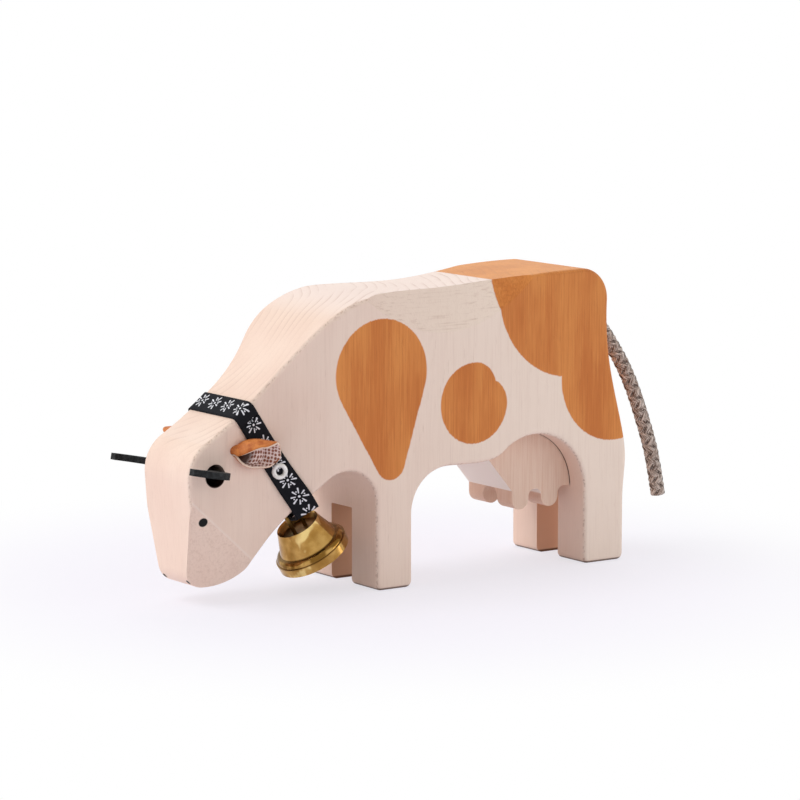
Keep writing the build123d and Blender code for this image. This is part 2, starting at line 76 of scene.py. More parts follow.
class Wire:
    """One shader socket: sums on it add Math nodes, and make() adds any other node."""

    def __init__(self, socket):
        self.socket = socket

    def make(self, kind, settings, inputs, output=0):
        """Adds a node with its settings, its sockets' values or links, and returns one output."""
        tree = self.socket.id_data
        node = tree.nodes.new(kind)
        for name, value in settings.items():
            setattr(node, name, value)
        for name, value in inputs.items():
            if isinstance(value, Wire):
                tree.links.new(value.socket, node.inputs[name])
            else:
                node.inputs[name].default_value = value
        return Wire(node.outputs[output])

    def maths(self, operation, *values):
        return self.make("ShaderNodeMath", {"operation": operation}, dict(enumerate(values)))

    def __add__(self, other):
        return self.maths("ADD", self, other)

    def __sub__(self, other):
        return self.maths("SUBTRACT", self, other)

    def __rsub__(self, other):
        return self.maths("SUBTRACT", other, self)

    def __mul__(self, other):
        return self.maths("MULTIPLY", self, other)

    def __truediv__(self, other):
        return self.maths("DIVIDE", self, other)

    def __pow__(self, other):
        return self.maths("POWER", self, other)

    def __abs__(self):
        return self.maths("ABSOLUTE", self)

    def __mod__(self, other):
        return self.maths("FLOORED_MODULO", self, other)

    def least(self, other):
        return self.maths("MINIMUM", self, other)

    def most(self, other):
        return self.maths("MAXIMUM", self, other)

    def ramp(self, low, high):
        """0 below low, 1 above high, smooth between; low may be the larger."""
        return self.make(
            "ShaderNodeMapRange",
            {"interpolation_type": "SMOOTHSTEP"},
            {"Value": self, "From Min": low, "From Max": high},
        )

    def parts(self):
        """The x, y and z of a vector."""
        node = self.make("ShaderNodeSeparateXYZ", {}, {0: self}).socket.node
        return [Wire(socket) for socket in node.outputs]

    def scaled(self, x, y, z):
        """A vector scaled along each axis."""
        return self.make(
            "ShaderNodeVectorMath", {"operation": "MULTIPLY"}, {0: self, 1: (x, y, z)}
        )

    def noise(self, scale, detail=2.0, rough=0.5):
        """Smooth noise from 0 to 1 at this vector."""
        return self.make(
            "ShaderNodeTexNoise",
            {},
            {"Vector": self, "Scale": scale, "Detail": detail, "Roughness": rough},
        )

    def blend(self, first, second):
        """A colour between two others, with this as the share of the second."""
        return self.make(
            "ShaderNodeMix", {"data_type": "RGBA"}, {0: self, 6: first, 7: second}, 2
        )

    def bump(self, depth):
        """A normal from this height, with its depth in millimetres."""
        return self.make(
            "ShaderNodeBump", {}, {"Height": self, "Distance": depth * MM, "Strength": 1.0}
        )

    def facing(self):
        """The x, y and z of the surface's normal."""
        return self.make("ShaderNodeNewGeometry", {}, {}, "Normal").parts()

    def painted(self, layer):
        """A vector that the mesh keeps at its points under this name."""
        return self.make("ShaderNodeAttribute", {"attribute_name": layer}, {}, "Vector")


def tint(red, green, blue):
    """A colour written as it shows on a screen, 0 to 255."""
    colour = Color((red / 255, green / 255, blue / 255)).from_srgb_to_scene_linear()
    return (*colour, 1.0)


def new_finish(name, **fixed):
    """A material with its fixed sockets set, and the place on the piece in millimetres."""
    finish = bpy.data.materials.new(name)
    finish.use_nodes = True
    shader = finish.node_tree.nodes["Principled BSDF"]
    for socket, value in fixed.items():
        shader.inputs[socket.replace("_", " ")].default_value = value
    place = Wire(shader.outputs[0]).make("ShaderNodeTexCoord", {}, {}, "Object")
    return finish, place.scaled(1 / MM, 1 / MM, 1 / MM)


def feed(finish, **wires):
    """Links wires to the finish's shader."""
    shader = finish.node_tree.nodes["Principled BSDF"]
    for socket, wire in wires.items():
        finish.node_tree.links.new(wire.socket, shader.inputs[socket.replace("_", " ")])


def dress(node, finish):
    """Gives a CAD solid its finish."""
    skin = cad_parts[node].data
    skin.materials.clear()
    skin.materials.append(finish)


def new_piece(bm, name, body, finish):
    """A finished bmesh as a smooth named piece that rides on a body."""
    mesh = bpy.data.meshes.new(name)
    bm.to_mesh(mesh)
    bm.free()
    mesh.shade_smooth()
    mesh.materials.append(finish)
    piece = bpy.data.objects.new(name, mesh)
    bpy.context.collection.objects.link(piece)
    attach(piece, body)
    return piece


tail_route = [
    (0.0645, 0.0, 0.0817),
    (0.0774, 0.0, 0.0754),
    (0.0868, 0.0, 0.0637),
    (0.0938, 0.0, 0.0525),
    (0.0990, 0.0, 0.0398),
    (0.1034, 0.0, 0.0272),
    (0.1057, 0.0, 0.0149),
]
tail_radius = 2.0 * MM
plait_pitch = 17.0 * MM
plait_radius = 1.5 * MM
plait_weave = 0.2 * MM
yarns = 8
yarn_width = 1.32 * MM
yarn_depth = 0.62 * MM
yarn_sides = 14
yarn_apart = 40.0
core_radius = 1.7 * MM
fuzz_depth = 0.14 * MM
fuzz_pitch = 0.9 * MM

tail_line = bpy.data.curves.new("tail_line", "CURVE")
tail_line.dimensions = "3D"
tail_line.resolution_u = 48
tail_spline = tail_line.splines.new("NURBS")
tail_spline.points.add(len(tail_route) - 1)
for point, place in zip(tail_spline.points, tail_route):
    point.co = (*place, 1)
tail_spline.order_u = 3
tail_spline.use_endpoint_u = True
tail_guide = bpy.data.objects.new("tail_guide", tail_line)
tail_mesh = bpy.data.meshes.new_from_object(tail_guide)
tail_path = [vertex.co.copy() for vertex in tail_mesh.vertices]
bpy.data.meshes.remove(tail_mesh)
bpy.data.objects.remove(tail_guide)
bpy.data.curves.remove(tail_line)

tail_across = Vector((0, 1, 0))
tail_frames = []
travelled = 0.0
tail_before = tail_path[:1] + tail_path
tail_after = tail_path[1:] + tail_path[-1:]
for before, point, after in zip(tail_before, tail_path, tail_after):
    travelled += (point - before).length
    along = (after - before).normalized()
    tail_frames.append((point, along.cross(tail_across), travelled))

rope = bmesh.new()
lay = rope.verts.layers.float_vector.new("lay")
sunk = rope.verts.layers.float.new("sunk")
last_station = len(tail_frames) - 1
for yarn in range(yarns + 1):
    is_core = yarn == yarns
    turn_way = 1 if yarn % 2 else -1
    start = 4 * pi * (yarn // 2) / yarns
    wide, deep = (core_radius, core_radius) if is_core else (yarn_width, yarn_depth)
    tube = bmesh.ops.create_grid(rope, x_segments=last_station, y_segments=yarn_sides, size=1)
    for vertex in tube["verts"]:
        centre, up, run = tail_frames[round((vertex.co.x + 1) / 2 * last_station)]
        spin = pi * round((vertex.co.y + 1) * yarn_sides / 2) * 2 / yarn_sides
        swing = 2 * pi * run / plait_pitch
        angle = start + turn_way * swing
        out = tail_across * cos(angle) + up * sin(angle)
        round_way = up * cos(angle) - tail_across * sin(angle)
        lifted = plait_radius + plait_weave * turn_way * cos(yarns / 2 * swing)
        middle = centre if is_core else centre + out * lifted
        vertex.co = middle + round_way * (wide * cos(spin)) + out * (deep * sin(spin))
        fuzz = fuzz_depth * noise.noise(vertex.co / fuzz_pitch)
        vertex.co += (vertex.co - centre).normalized() * fuzz
        vertex[lay] = (run / MM + yarn_apart * yarn, cos(spin), sin(spin))
        vertex[sunk] = (vertex.co - centre).length / tail_radius
bmesh.ops.remove_doubles(rope, verts=rope.verts, dist=weld)
bmesh.ops.edgeloop_fill(rope, edges=[edge for edge in rope.edges if edge.is_boundary])
bmesh.ops.recalc_face_normals(rope, faces=rope.faces)

hemp, spot = new_finish("hemp", Roughness=0.95, Specular_IOR_Level=0.2)
lay_place = spot.painted("lay")
reach = spot.make("ShaderNodeAttribute", {"attribute_name": "sunk"}, {}, "Fac")
lay_round = lay_place.parts()[1]
fibres = lay_place.scaled(0.5, 3.2, 3.2).noise(1.0, 4.0, 0.75)
hairs = lay_place.scaled(1.2, 9.0, 9.0).noise(1.0, 3.0, 0.7)
clumps = lay_place.scaled(0.2, 0.8, 0.8).noise(1.0, 2.0)
strand = fibres * 0.7 + hairs * 0.3
fibre_colour = strand.ramp(0.42, 0.58).blend(tint(96, 72, 60), tint(250, 236, 222))
mottled = (clumps.ramp(0.4, 0.7) * 0.35).blend(fibre_colour, tint(166, 140, 120))
# Painted shade: the rope turns dark brown in the hollows between yarns and along each yarn's sides.
crevice_shade = (reach.ramp(0.85, 0.73) * 0.85).most(abs(lay_round).ramp(0.8, 0.97) * 0.7)
feed(
    hemp,
    Base_Color=crevice_shade.blend(mottled, tint(66, 46, 36)),
    Normal=(strand + clumps * 0.3).bump(0.35),
)
tail = new_piece(rope, "tail_plait", "cow", hemp)
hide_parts("tail_rope")


# Body: a cow sawn and carved from one plank of pale close-grained wood, its fibres upright,
# so that the growth rings show as arcs across the back. Brown stain makes the patches, black
# paint the eyes and nostrils. The slot between the legs, the horn hole, the joint with the
# udder and the feet's bottom edges are painted darker as painted shade.
pith_x = -38.0
pith_y = 24.0
ring_pitch = 2.9
ring_sway = 10.0
# Where the painted light on the side faces grows, from the head back to the rump, in millimetres.
side_light_span = (-70.0, 60.0)
slot_half = 5.3
slot_top = 23.0
slot_start = -28.0
crease_top = (-71.5, 29.8)
crease_low = (-53.9, 13.6)
rump_spots = ((57.2, 85.0, 27.2), (73.3, 57.2, 20.0))
flank_spot = (21.0, 52.6, 12.1)
flank_dent = 2.2
flank_dent_turn = 0.67
flank_dent_spread = 0.87
shoulder_top = (-12.0, 63.9, 15.9)
shoulder_tip = (-8.9, 37.4, 5.0)
horn_hole = (-65.1, 37.9, 3.3)
seam_y = 11.15
arch_low = (34.0, 22.5)
arch_high = (66.0, 44.0)
eye = (-68.9, 25.0, 1.3)
nostril_place = (-70.6, 6.4, 7.0)


def plank_grain(spot):
    """The bare wood's colour, with a painted sheen on top faces and painted light on side faces towards the
    rump, its height for a bump, its streaks and its dark lines.
    """
    x, y = spot.parts()[:2]
    facing_y, facing_z = spot.facing()[1:]
    sway = spot.scaled(0.03, 0.03, 0.01).noise(1.0, 2.0)
    pith_run = (x - pith_x) * (x - pith_x) + (y - pith_y) * (y - pith_y)
    from_pith = pith_run ** 0.5 + sway * ring_sway
    rings = ((from_pith / ring_pitch) % 1.0) ** 6.0
    ring_strength = spot.scaled(0.08, 0.08, 0.01).noise(1.0, 2.0).ramp(0.35, 0.65)
    end_grain = facing_z.ramp(0.5, 0.95)
    ring_lines = rings * ring_strength * (end_grain * 0.55 + 0.05)
    streaks = spot.scaled(2.2, 2.2, 0.06).noise(1.0, 4.0, 0.65)
    pores = spot.scaled(3.6, 3.6, 0.22).noise(1.0, 2.0).ramp(0.66, 0.78)
    sloped = (abs(facing_y) * facing_z).ramp(0.2, 0.36)
    tool_marks = spot.scaled(0.035, 1.5, 1.5).noise(1.0, 3.0, 0.6).ramp(0.52, 0.72) * sloped
    edge = abs(facing_y).ramp(0.2, 0.45) * abs(facing_y).ramp(0.86, 0.7)
    cloud = spot.scaled(0.05, 0.05, 0.02).noise(1.0, 2.0)
    pale = cloud.ramp(0.3, 0.7).blend(tint(247, 223, 205), tint(241, 213, 195))
    # Painted sheen: faces that look up are made lighter and paler.
    pale = (facing_z.ramp(0.8, 0.98) * 0.6).blend(pale, tint(251, 236, 230))
    # Painted light: side faces get lighter towards the rump.
    pale = (x.ramp(*side_light_span) * abs(facing_y).ramp(0.4, 0.9)).blend(pale, tint(253, 234, 216))
    lines = ring_lines + streaks.ramp(0.45, 0.8) * 0.16 + pores * 0.2 + tool_marks * 0.32
    bare = lines.blend(pale, tint(196, 158, 138))
    rough_edge = spot.scaled(1.6, 1.6, 1.6).noise(1.0, 3.0, 0.7).ramp(0.4, 0.7) * edge
    bare = (rough_edge * 0.35).blend(bare, tint(255, 240, 228))
    specks = spot.scaled(1.4, 1.4, 1.0).noise(1.0, 3.0, 0.7).ramp(0.5, 0.62) * edge
    bare = (specks * 0.45).blend(bare, tint(178, 140, 116))
    height = 1 - pores * 0.5 - streaks * 0.3 - ring_lines * end_grain * 0.6
    height = height - tool_marks * 0.5 + rough_edge * 0.8 - specks * 0.6
    return bare, height, streaks, lines


def round_distance(x, z, circle):
    """Distance outside a circle on the cow's side."""
    off_x = x - circle[0]
    off_z = z - circle[1]
    return (off_x * off_x + off_z * off_z) ** 0.5 - circle[2]


def drop_distance(x, z, top, tip):
    """Distance outside a drop that tapers from one circle to a smaller one."""
    reach = sqrt((tip[0] - top[0]) ** 2 + (tip[1] - top[1]) ** 2)
    way_x = (tip[0] - top[0]) / reach
    way_z = (tip[1] - top[1]) / reach
    taper = (top[2] - tip[2]) / reach
    along = (x - top[0]) * way_x + (z - top[1]) * way_z
    aside = abs((x - top[0]) * way_z - (z - top[1]) * way_x)
    foot = (along - aside * (taper / sqrt(1 - taper**2))).most(0.0).least(reach)
    return (aside * aside + (along - foot) * (along - foot)) ** 0.5 - (top[2] - foot * taper)


wood, spot = new_finish("stained_plank", Roughness=0.52, Specular_IOR_Level=0.2)
x, y, z = spot.parts()
bare, height, streaks, lines = plank_grain(spot)
facing_y, facing_z = spot.facing()[1:]
crease_run_x = crease_low[0] - crease_top[0]
crease_run_z = crease_low[1] - crease_top[1]
flat_off = (x - crease_top[0]) * crease_run_z - (z - crease_top[1]) * crease_run_x
flat_off = flat_off / sqrt(crease_run_x**2 + crease_run_z**2)
on_side = abs(facing_y).ramp(0.8, 0.9)
rasped = spot.scaled(1.2, 1.2, 1.2).noise(1.0, 3.0, 0.7).ramp(0.45, 0.7)
rasped = rasped * flat_off.ramp(0.0, 0.3) * on_side
bare = (rasped * 0.25).blend(bare, tint(200, 164, 140))
# Painted highlight: a thin lighter line along the crease between the cheek and the muzzle facet.
bare = (abs(flat_off).ramp(0.45, 0.1) * on_side * 0.28).blend(bare, tint(255, 242, 230))
flank_turn = x.maths("ARCTAN2", z - flank_spot[1], x - flank_spot[0])
dent = (1 - abs(flank_turn - flank_dent_turn) / flank_dent_spread).most(0.0) ** 2.0 * flank_dent
flank = round_distance(x, z, flank_spot) + dent
rump = round_distance(x, z, rump_spots[0]).least(round_distance(x, z, rump_spots[1]))
shoulder = drop_distance(x, z, shoulder_top, shoulder_tip)
ragged = streaks * 0.7 - 0.35
stained = (shoulder.least(rump).least(flank) + ragged).ramp(0.2, -0.2)
stain_depth = spot.scaled(0.1, 0.1, 0.03).noise(1.0, 3.0) * 0.55 + streaks * 0.45
stain = stain_depth.ramp(0.36, 0.64).blend(tint(228, 147, 76), tint(207, 121, 57))
stain = (lines * 0.6).blend(stain, tint(160, 88, 42))
# Painted sheen: the stain is lighter on faces that look up.
stain = (facing_z.ramp(0.8, 0.98) * 0.3).blend(stain, tint(242, 184, 122))
eye_mark = round_distance(x, z, eye).ramp(0.12, -0.12)
nostril_x = x - nostril_place[0]
nostril_y = abs(y) - nostril_place[1]
nostril_z = z - nostril_place[2]
nostril = (nostril_x * nostril_x + nostril_y * nostril_y + nostril_z * nostril_z) ** 0.5
marks = eye_mark.most(nostril.ramp(0.95, 0.65))
# Painted shade: the inside of the horn hole is made dark brown.
hole_shade = round_distance(x, z, horn_hole).ramp(0.1, -0.1)
painted = marks.blend(stained.blend(bare, stain), tint(8, 8, 9))
past_arch = (x - arch_high[0]).most(z - arch_high[1])
# Painted shade: a dark line on the arch along the udder's sides, where the gap between them lies.
seam_shade = abs(abs(y) - seam_y).ramp(0.4, 0.1) * x.ramp(arch_low[0], arch_low[0] + 6.0)
seam_shade = seam_shade * z.ramp(arch_low[1], arch_low[1] + 2.0) * past_arch.ramp(0.0, -1.0)
# Painted shade: the faces of the slot between the legs are made browner, most at the front legs.
slot_shade = abs(abs(y) - slot_half).ramp(0.15, 0.05) * z.ramp(slot_top, slot_top - 0.4)
slot_shade = slot_shade * x.ramp(slot_start - 1.0, slot_start)
slot_shade_colour = x.ramp(0.0, 60.0).blend(tint(208, 166, 136), tint(228, 180, 148))
painted = slot_shade.blend(painted, slot_shade_colour)
# Painted shadow: the rounded bottom edges of the feet turn dark brown where they meet the floor.
foot_shadow = z.ramp(0.95, 0.45) * facing_z.ramp(-0.99, -0.93)
# Both painted shades, at the udder joint and the feet, take the same dark brown.
joint_and_foot_shade = (seam_shade * 0.85).most(foot_shadow * 0.9)
painted = joint_and_foot_shade.blend(painted, tint(92, 54, 34))
feed(
    wood,
    Base_Color=hole_shade.blend(painted, tint(52, 32, 22)),
    Normal=height.bump(0.1),
)
dress("body", wood)


# Udder: a block of the same wood sawn to the hind arch, with round-ended teats left between
# two saw cuts, and glued in place.
teat_root = 21.0
udder_wood, spot = new_finish("udder_wood", Roughness=0.66, Specular_IOR_Level=0.2)
bare, height, streaks = plank_grain(spot)[:3]
sawn_side = (streaks.ramp(0.35, 0.75) * 0.3 + 0.5).blend(bare, tint(226, 186, 160))
facing_x, facing_z = spot.facing()[::2]
above_teats = spot.parts()[2].ramp(teat_root - 0.5, teat_root)
# Painted light: faces above the teats that look forward and down are made lighter, as if lit from the
# floor.
front = facing_x.ramp(-0.2, -0.6) * facing_z.ramp(-0.1, -0.4) * above_teats
feed(
    udder_wood,
    Base_Color=front.blend(sawn_side, tint(255, 246, 236)),
    Normal=height.bump(0.12),
)
dress("udder", udder_wood)


# Horns: one crescent cut from thick black leather, its edges left raw. It is pushed through a
# wide hole bored across the head, and stands out on both sides.
horn_leather, spot = new_finish("horn_leather", Roughness=0.75, Specular_IOR_Level=0.25)
creases = spot.scaled(0.9, 0.9, 0.9).noise(1.0, 4.0, 0.6)
feed(
    horn_leather,
    Base_Color=creases.ramp(0.35, 0.75).blend(tint(20, 21, 22), tint(50, 53, 54)),
    Normal=creases.bump(0.3),
)
dress("horns", horn_leather)


# Ribbon: a narrow black woven ribbon with a row of little white flowers, wound once round the
# neck. It folds under the throat and is gathered into the bell's wire loop.
ribbon_lean = radians(33)
ribbon_down = Vector((sin(ribbon_lean), 0, -cos(ribbon_lean)))
ribbon_over = Vector((cos(ribbon_lean), 0, sin(ribbon_lean)))
ribbon_top = Vector((-55.7, 0, 55.3)) * MM
ribbon_half = 3.5 * MM
ribbon_thick = 0.5 * MM
ribbon_off = 0.06 * MM
side_drop = 31.5 * MM
fold_drop = 36.0 * MM
hang_drop = 37.9 * MM
bell_y = -5.5 * MM
ribbon_shift = 0.25 * MM
outside = 40 * MM
top_half = 9.5 * MM
corner_drop = 3.4 * MM
corner_reach = 20 * MM
throat_drop = 18 * MM
fold_share = 0.8
sag_share = 0.62
sag_depth = 0.5 * MM
pleat_depth = 0.45 * MM
least_gather = 0.3
ribbon_rows = 10
hung_steps, side_steps, corner_steps, top_steps = 24, 40, 12, 12
side_end = 36
flower_aside = 0.4
overlap_run = 31.0
low_flower, low_pitch = 9.8, 5.9
high_flower, high_pitch = 41.6, 6.75
thread_pitch = 18.0
petals = 8
petal_root = 1.05
petal_tip = 2.25
dot_ring = 1.6

body_skin = BVHTree.FromObject(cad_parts["body"], bpy.context.evaluated_depsgraph_get())


def ribbon_place(across, drop, over):
    """A point in the ribbon's frame: across the cow, down the slope and over the ribbon's width."""
    return ribbon_top + Vector((0, across, 0)) + ribbon_down * drop + ribbon_over * over


def laid(start, way):
    """The point on the wood that a ray meets, lifted clear of it."""
    return body_skin.ray_cast(start, way)[0] - way * ribbon_off


def side_point(side, drop, over):
    """A point on the neck's side; side is -1 for the cow's left."""
    return laid(ribbon_place(side * outside, drop, over), Vector((0, -side, 0)))


def corner_point(side, turn, over):
    """A point on the neck's rounded upper corner, turning from the side at 0 to the top at 1."""
    centre = ribbon_place(side * top_half, corner_drop, over)
    way = Vector((0, side, 0)) * cos(turn * pi / 2) - ribbon_down * sin(turn * pi / 2)
    return laid(centre + way * corner_reach, -way)


def hung_point(side, share, over):
    """A point on the loose run under the throat, from the bell at 0 to the side at 1."""
    edge = side_point(side, side_drop, over + ribbon_shift)
    fold = edge + ribbon_down * (fold_drop - side_drop)
    if share > fold_share:
        return fold.lerp(edge, (share - fold_share) / (1 - fold_share))
    near = share / fold_share
    gather = least_gather + (1 - least_gather) * min(1.0, near * 1.6) ** 1.5
    pleat = pleat_depth * (1 - gather) * cos(3 * pi * over / ribbon_half)
    bell_end = ribbon_place(bell_y, hang_drop + pleat, over * gather)
    sag = sag_depth * sin(pi * min(1.0, near / sag_share))
    return bell_end.lerp(fold, near) + ribbon_down * sag


def face_outward(bm, centre):
    """Turns all the faces over if most of them look towards the centre."""
    if sum(face.normal.dot(face.calc_center_median() - centre) for face in bm.faces) < 0:
        bmesh.ops.reverse_faces(bm, faces=bm.faces)


ribbon_stations = []
for side in (-1, 1):
    half = [("hung", side, step / hung_steps) for step in range(hung_steps + 1)]
    half += [("side", side, side_drop * (1 - step / side_steps)) for step in range(1, side_end + 1)]
    half += [("corner", side, step / corner_steps) for step in range(corner_steps + 1)]
    half += [("top", side, step / top_steps) for step in range(1, top_steps)]
    ribbon_stations += half if side < 0 else half[::-1]


def ribbon_point(kind, side, where, over):
    """A point on the ribbon at one station along it, at a place over its width."""
    if kind == "hung":
        return hung_point(side, where, over)
    over += ribbon_shift
    if kind == "side":
        return side_point(side, where, over)
    if kind == "corner":
        return corner_point(side, where, over)
    return laid(ribbon_place(side * top_half * (1 - where), -corner_reach, over), ribbon_down)


last_station = len(ribbon_stations) - 1
ribbon = bmesh.new()
weave = ribbon.verts.layers.float_vector.new("weave")
bmesh.ops.create_grid(ribbon, x_segments=last_station, y_segments=ribbon_rows, size=1)
ribbon_columns = {}
for vertex in ribbon.verts:
    station = round((vertex.co.x + 1) / 2 * last_station)
    ribbon_columns.setdefault(station, []).append(vertex)
run = 0.0
last_middle = None
for station, (kind, side, where) in enumerate(ribbon_stations):
    middle = ribbon_point(kind, side, where, 0.0)
    if last_middle:
        run += (middle - last_middle).length
    last_middle = middle
    for vertex in ribbon_columns[station]:
        over = vertex.co.y * ribbon_half
        vertex.co = ribbon_point(kind, side, where, over)
        vertex[weave] = (run / MM, over / MM, 0)
bmesh.ops.remove_doubles(ribbon, verts=ribbon.verts, dist=weld)
bmesh.ops.recalc_face_normals(ribbon, faces=ribbon.faces)
face_outward(ribbon, ribbon_place(0, throat_drop, 0))

ribbon_cloth, spot = new_finish("flower_ribbon", Roughness=0.8, Specular_IOR_Level=0.15)
u, v = spot.painted("weave").parts()[:2]
upper = u.ramp(overlap_run - 0.05, overlap_run + 0.05)
pitch = upper * (high_pitch - low_pitch) + low_pitch
first = upper * (high_flower - low_flower) + low_flower
flower_u = (((u - first) / pitch + 0.5) % 1.0 - 0.5) * pitch
flower_v = v - flower_aside
rho = (flower_u * flower_u + flower_v * flower_v) ** 0.5
theta = flower_u.maths("ARCTAN2", flower_v, flower_u)
petal_share = petals / (2 * pi)
petal_turn = ((theta * petal_share % 1.0) - 0.5) / petal_share
petal_along = rho * petal_turn.maths("COSINE", petal_turn)
petal_aside = rho * petal_turn.maths("SINE", petal_turn)
uneven = theta.maths("SINE", theta * 3.0 + 1.0) * 0.16 + petal_tip
petal_past = petal_along - petal_along.most(petal_root).least(uneven)
petal_far = (petal_aside * petal_aside + petal_past * petal_past) ** 0.5
petal = (petal_far - petal_along * 0.08 - 0.06).ramp(0.07, -0.07)
dot_turn = abs(petal_turn) - 0.5 / petal_share
dot_run = rho - dot_ring
dot = ((dot_turn * dot_turn * rho * rho + dot_run * dot_run) ** 0.5).ramp(0.26, 0.16)
dot = dot * theta.maths("COSINE", theta * (petals / 2)).ramp(0.0, 0.3)
flower = petal.most(dot).most(rho.ramp(0.42, 0.28))
threads = u.maths("SINE", u * thread_pitch) * 0.5 + 0.5
black = (threads * 0.4).blend(tint(17, 17, 22), tint(30, 30, 36))
feed(
    ribbon_cloth,
    Base_Color=flower.blend(black, tint(240, 240, 244)),
    Normal=(threads * 0.4 + flower).bump(0.08),
)
collar = new_piece(ribbon, "flower_ribbon", "cow", ribbon_cloth)
collar_wall = collar.modifiers.new("cloth", "SOLIDIFY")
collar_wall.thickness = ribbon_thick
collar_wall.offset = 1.0
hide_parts("collar_ribbon")


# Eyelet: a hollow rivet of bright metal with a broad rolled flange, closed through the
# ribbon's two ends on the cow's left side.
bright, spot = new_finish("bright_eyelet", Metallic=0.2, Roughness=0.3)
shade = spot.noise(0.7, 2.0)
feed(bright, Base_Color=shade.ramp(0.3, 0.7).blend(tint(246, 244, 240), tint(226, 222, 216)))
dress("collar_eyelet", bright)


# Ears: leaves cut from tan leather and curled to a cup, smooth outside and rough flesh side
# in, their stalks rolled tight and glued into holes bored in the head.
ear_length = 11.6 * MM
ear_x, ear_half, ear_z = -57.3 * MM, 12.7 * MM, 44.4 * MM
ear_droop = radians(8)
ear_roll = radians(38)
ear_skin = 0.75 * MM
ear_bowl = 4.5 * MM
ear_twist = radians(46)
ear_lift = 0.9 * MM
ear_start = -0.3
ear_mouth = -0.1
ear_stalk = 1.8 * MM
ear_full = 0.6
root_curl, full_curl = 168, 102
tip_curl = 0.14
ear_taper = 0.1
ear_rows, ear_columns = 34, 36
ear_sweeps = (("left_ear", -1, radians(48)), ("right_ear", 1, radians(-10)))

tan_leather, spot = new_finish("tan_leather", Roughness=0.55, Specular_IOR_Level=0.3)
leaf_x, leaf_y, leaf_in = spot.painted("leaf").parts()
blotch = spot.noise(0.5, 4.0, 0.6)
grain = spot.noise(2.2, 4.0, 0.6)
smooth_side = blotch.ramp(0.3, 0.7).blend(tint(224, 140, 72), tint(178, 92, 38))
net_place = spot.make("ShaderNodeCombineXYZ", {}, {0: leaf_x, 1: leaf_y * 0.75, 2: 0.0})
net = {"Vector": net_place, "Scale": 1.0, "Randomness": 0.25}
cells = net_place.make("ShaderNodeTexVoronoi", {}, net, "Distance")
flesh_side = cells.ramp(0.28, 0.52).blend(tint(146, 86, 62), tint(248, 224, 214))
# Painted shade: the flesh side turns dark brown towards the stalk, deep in the cup.
flesh_side = leaf_x.ramp(3.6, 0.8).blend(flesh_side, tint(64, 34, 22))
cut_edge = leaf_in.ramp(0.02, 0.2) * leaf_in.ramp(0.98, 0.8)
leather = leaf_in.ramp(0.8, 0.98).blend(smooth_side, flesh_side)
feed(
    tan_leather,
    Base_Color=cut_edge.blend(leather, tint(240, 214, 192)),
    Normal=(grain * 0.4 + cells * leaf_in).bump(0.2),
)

for node, side, sweep in ear_sweeps:
    ear_out = Vector(
        (sin(sweep) * cos(ear_droop), side * cos(sweep) * cos(ear_droop), -sin(ear_droop))
    )
    ear_level = Vector((-cos(sweep), side * sin(sweep), 0))
    ear_under = ear_out.cross(ear_level) * -side
    ear_open = ear_level * cos(ear_roll) + ear_under * sin(ear_roll)
    ear_lip = ear_under * cos(ear_roll) - ear_level * sin(ear_roll)
    ear_root = Vector((ear_x, side * ear_half, ear_z))
    leaf = bmesh.new()
    leaf_place = leaf.verts.layers.float_vector.new("leaf")
    bmesh.ops.create_grid(leaf, x_segments=ear_rows, y_segments=ear_columns, size=1)
    for vertex in leaf.verts:
        across = vertex.co.y
        along = ear_start + (1 - ear_start) * (vertex.co.x + 1) / 2
        reach = along * (1 - ear_taper * across**2 * max(0.0, along))
        fill = min(1.0, max(0.0, reach - ear_mouth) / ear_full)
        radius = max(ear_stalk, ear_bowl * sqrt(1 - (1 - fill) ** 2))
        opened = (min(ear_full, max(0.0, reach)) / ear_full) ** 0.8
        curl = radians(root_curl - (root_curl - full_curl) * opened)
        if reach > ear_full:
            to_tip = (reach - ear_full) / (1 - ear_full)
            curl *= sqrt(max(tip_curl, 1 - to_tip**2))
        turn = across * curl + ear_twist * max(0.0, reach) * (1 - across**2)
        rim_way = ear_lip * sin(turn) - ear_open * cos(turn)
        vertex.co = ear_root + ear_out * (reach * ear_length) + rim_way * radius
        if reach > 0:
            beside = Vector((vertex.co.x, side * outside, vertex.co.z))
            neck = laid(beside, Vector((0, -side, 0)))
            clear = neck.y * side + ear_lift * min(1.0, reach * 2)
            vertex.co.y = side * max(vertex.co.y * side, clear)
        vertex[leaf_place] = (reach * ear_length / MM, turn * radius / MM, 0)
    bmesh.ops.recalc_face_normals(leaf, faces=leaf.faces)
    face_outward(leaf, ear_root + ear_out * ear_length / 2)
    leaf.normal_update()
    smooth = leaf.verts[:] + leaf.edges[:] + leaf.faces[:]
    lining = bmesh.ops.duplicate(leaf, geom=smooth)["geom"]
    lining_faces = []
    for item in lining:
        if isinstance(item, bmesh.types.BMVert):
            item.co -= item.normal * ear_skin
            item[leaf_place].z = 1
        elif isinstance(item, bmesh.types.BMFace):
            lining_faces.append(item)
    bmesh.ops.reverse_faces(leaf, faces=lining_faces)
    cut_edges = [edge for edge in leaf.edges if edge.is_boundary]
    bmesh.ops.bridge_loops(leaf, edges=cut_edges)
    ear = new_piece(leaf, node + "_leaf", "cow", tan_leather)
    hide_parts(node)


# Bell: drawn from sheet brass and polished, with a dished crown, a flared waist and a heavy
# rim. A wire loop through the crown holds the ribbon, and a wire staple carries the clapper.
bell_pivot = (-35.06, 23.51)
bell_lean = radians(32)
waist_groove = 10.9
rim_groove = 12.6
dish_radius = 6.3
dish_foot = 6.0

